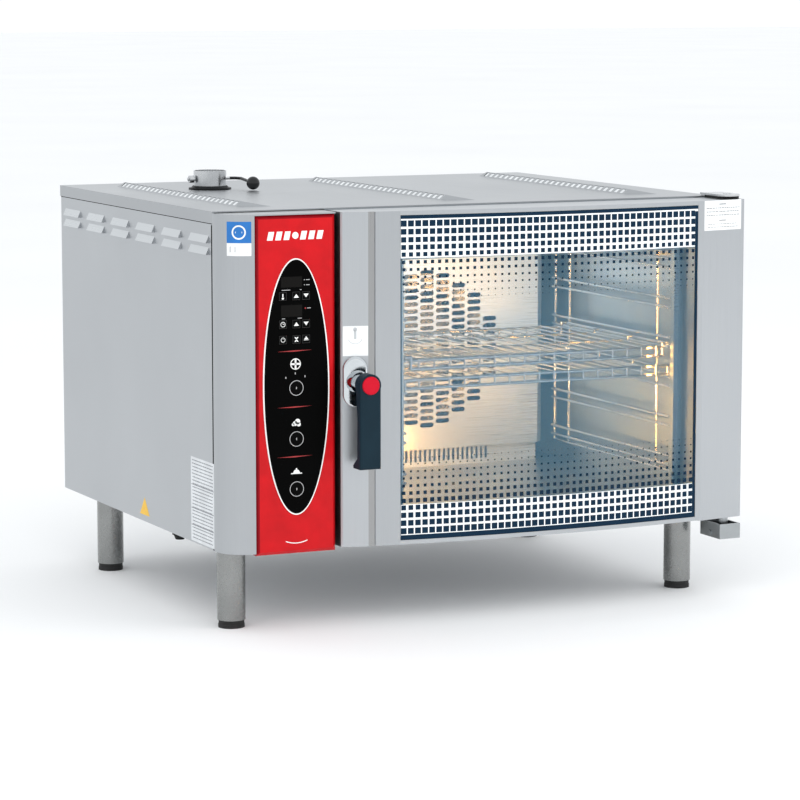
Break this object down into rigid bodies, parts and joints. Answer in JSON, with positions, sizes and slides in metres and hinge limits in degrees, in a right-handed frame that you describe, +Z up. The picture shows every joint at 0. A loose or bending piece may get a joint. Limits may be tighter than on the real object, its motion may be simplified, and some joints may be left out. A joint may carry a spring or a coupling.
{
  "type": "combi steamer oven",
  "caption": "Counter-top combi steamer oven: steel cabinet on legs, bowed glass door with lever latch, control column, wire shelves, convection fan, flue with damper.",
  "frame": {"origin": "middle of the floor under the whole part, at the height the feet stand on", "axes": "+X to the right seen from the front, +Y to the back, +Z up"},
  "size_m": [1.0384, 0.98, 0.782],
  "materials": {
    "steel_panel": "brushed stainless sheet",
    "steel_top": "brushed stainless sheet",
    "steel_door": "brushed stainless sheet, upright grain",
    "steel_chamber": "bright rolled stainless",
    "steel_bright": "machined stainless",
    "steel_wire": "electropolished wire",
    "leg_steel": "turned stainless tube",
    "red_paint": "gloss red powder coat",
    "overlay_film": "black film with a thin white rim",
    "key_plastic": "black film over a dome key",
    "circuit_board": "green laminate",
    "mineral_wool": "yellow mineral wool",
    "motor_casting": "cast housing",
    "heater_sheath": "heat-darkened sheath",
    "lamp_metal": "spun aluminium",
    "lamp_glass": "frosted glass",
    "silicone": "matt silicone",
    "black_plastic": "moulded black",
    "black_rubber": "matt",
    "tinted_glass": "toughened, blue grey, with a printed grid",
    "clear_glass": "toughened, clear",
    "chrome_plate": "polished",
    "handle_plastic": "fine-grained black",
    "red_plastic": "gloss",
    "knob_plastic": "phenolic ball on a steel rod",
    "brass_valve": "as machined",
    "foot_rubber": "black pad under a steel sleeve"
  },
  "bodies": {
    "cabinet": {"base_pan": "steel_panel", "back_panel": "steel_panel", "side_panel_left": "steel_panel", "side_panel_right": "steel_panel", "top_cover": "steel_top", "corner_post": "steel_panel", "control_panel": "red_paint", "control_overlay": "overlay_film", "control_board": "circuit_board", "chamber_liner": "steel_chamber", "insulation": "mineral_wool", "fan_baffle": "steel_chamber", "fan_motor": "motor_casting", "heating_element": "heater_sheath", "steam_injector": "steel_wire", "chamber_drain": "steel_chamber", "tray_racks": "steel_wire", "lamps": "lamp_metal", "lamp_lenses": "lamp_glass", "door_gasket": "silicone", "latch_keeper": "steel_bright", "hinge_plate_top": "steel_bright", "hinge_bracket_bottom": "steel_bright", "hinge_washers": "black_plastic", "flue_pipe": "steel_bright", "flue_flange": "black_plastic", "leg_tubes": "leg_steel", "cable_gland": "black_plastic", "water_inlet": "brass_valve", "panel_screws": "steel_bright"},
    "door": {"door_shell": "steel_door", "door_inner_panel": "steel_chamber", "door_glass_outer": "tinted_glass", "door_glass_inner": "clear_glass", "glass_seal": "black_rubber", "handle_rosette": "chrome_plate"},
    "handle": {"latch_spindle": "steel_bright", "handle_lever": "handle_plastic", "handle_cap": "red_plastic"},
    "damper": {"damper_plate": "steel_bright", "damper_lever": "knob_plastic"},
    "fan": {"fan_wheel": "steel_chamber"},
    "upper_shelf": {"shelf_upper": "steel_wire"},
    "lower_shelf": {"shelf_lower": "steel_wire"},
    "key_1_1_body": {"key_1_1": "key_plastic"},
    "key_1_2_body": {"key_1_2": "key_plastic"},
    "key_1_3_body": {"key_1_3": "key_plastic"},
    "key_2_1_body": {"key_2_1": "key_plastic"},
    "key_2_2_body": {"key_2_2": "key_plastic"},
    "key_2_3_body": {"key_2_3": "key_plastic"},
    "key_3_1_body": {"key_3_1": "key_plastic"},
    "key_3_2_body": {"key_3_2": "key_plastic"},
    "key_3_3_body": {"key_3_3": "key_plastic"},
    "ring_key_1_body": {"ring_key_1": "key_plastic"},
    "ring_key_2_body": {"ring_key_2": "key_plastic"},
    "ring_key_3_body": {"ring_key_3": "key_plastic"},
    "foot_front_left_body": {"foot_front_left": "foot_rubber"},
    "foot_front_right_body": {"foot_front_right": "foot_rubber"},
    "foot_rear_left_body": {"foot_rear_left": "foot_rubber"},
    "foot_rear_right_body": {"foot_rear_right": "foot_rubber"}
  },
  "joints": [
    {"name": "door_hinge", "type": "hinge", "parent": "cabinet", "child": "door", "pos_m": [0.49625, -0.392, 0.446], "axis": [0, 0, 1], "range_deg": [0, 135]},
    {"name": "handle_turn", "type": "hinge", "parent": "door", "child": "handle", "pos_m": [-0.27525, -0.445, 0.4437], "axis": [0, 1, 0], "range_deg": [-90, 90]},
    {"name": "damper_turn", "type": "hinge", "parent": "cabinet", "child": "damper", "pos_m": [-0.29175, 0.223, 0.766], "axis": [-1, 0, 0], "range_deg": [0, 90]},
    {"name": "fan_spin", "type": "hinge", "parent": "cabinet", "child": "fan", "pos_m": [0.14425, 0.225, 0.4205], "axis": [0, 1, 0], "continuous": true},
    {"name": "upper_shelf_slide", "type": "slide", "parent": "cabinet", "child": "upper_shelf", "axis": [0, -1, 0], "range_m": [0, 0.028]},
    {"name": "lower_shelf_slide", "type": "slide", "parent": "cabinet", "child": "lower_shelf", "axis": [0, -1, 0], "range_m": [0, 0.028]},
    {"name": "key_1_1_press", "type": "slide", "parent": "cabinet", "child": "key_1_1_body", "axis": [0, 1, 0], "range_m": [0, 0.0006], "stiffness_N_per_m": 500},
    {"name": "key_1_2_press", "type": "slide", "parent": "cabinet", "child": "key_1_2_body", "axis": [0, 1, 0], "range_m": [0, 0.0006], "stiffness_N_per_m": 500},
    {"name": "key_1_3_press", "type": "slide", "parent": "cabinet", "child": "key_1_3_body", "axis": [0, 1, 0], "range_m": [0, 0.0006], "stiffness_N_per_m": 500},
    {"name": "key_2_1_press", "type": "slide", "parent": "cabinet", "child": "key_2_1_body", "axis": [0, 1, 0], "range_m": [0, 0.0006], "stiffness_N_per_m": 500},
    {"name": "key_2_2_press", "type": "slide", "parent": "cabinet", "child": "key_2_2_body", "axis": [0, 1, 0], "range_m": [0, 0.0006], "stiffness_N_per_m": 500},
    {"name": "key_2_3_press", "type": "slide", "parent": "cabinet", "child": "key_2_3_body", "axis": [0, 1, 0], "range_m": [0, 0.0006], "stiffness_N_per_m": 500},
    {"name": "key_3_1_press", "type": "slide", "parent": "cabinet", "child": "key_3_1_body", "axis": [0, 1, 0], "range_m": [0, 0.0006], "stiffness_N_per_m": 500},
    {"name": "key_3_2_press", "type": "slide", "parent": "cabinet", "child": "key_3_2_body", "axis": [0, 1, 0], "range_m": [0, 0.0006], "stiffness_N_per_m": 500},
    {"name": "key_3_3_press", "type": "slide", "parent": "cabinet", "child": "key_3_3_body", "axis": [0, 1, 0], "range_m": [0, 0.0006], "stiffness_N_per_m": 500},
    {"name": "ring_key_1_press", "type": "slide", "parent": "cabinet", "child": "ring_key_1_body", "axis": [0, 1, 0], "range_m": [0, 0.0006], "stiffness_N_per_m": 500},
    {"name": "ring_key_2_press", "type": "slide", "parent": "cabinet", "child": "ring_key_2_body", "axis": [0, 1, 0], "range_m": [0, 0.0006], "stiffness_N_per_m": 500},
    {"name": "ring_key_3_press", "type": "slide", "parent": "cabinet", "child": "ring_key_3_body", "axis": [0, 1, 0], "range_m": [0, 0.0006], "stiffness_N_per_m": 500},
    {"name": "foot_front_left_level", "type": "slide", "parent": "cabinet", "child": "foot_front_left_body", "axis": [0, 0, 1], "range_m": [-0.03, 0]},
    {"name": "foot_front_right_level", "type": "slide", "parent": "cabinet", "child": "foot_front_right_body", "axis": [0, 0, 1], "range_m": [-0.03, 0]},
    {"name": "foot_rear_left_level", "type": "slide", "parent": "cabinet", "child": "foot_rear_left_body", "axis": [0, 0, 1], "range_m": [-0.03, 0]},
    {"name": "foot_rear_right_level", "type": "slide", "parent": "cabinet", "child": "foot_rear_right_body", "axis": [0, 0, 1], "range_m": [-0.03, 0]}
  ]
}
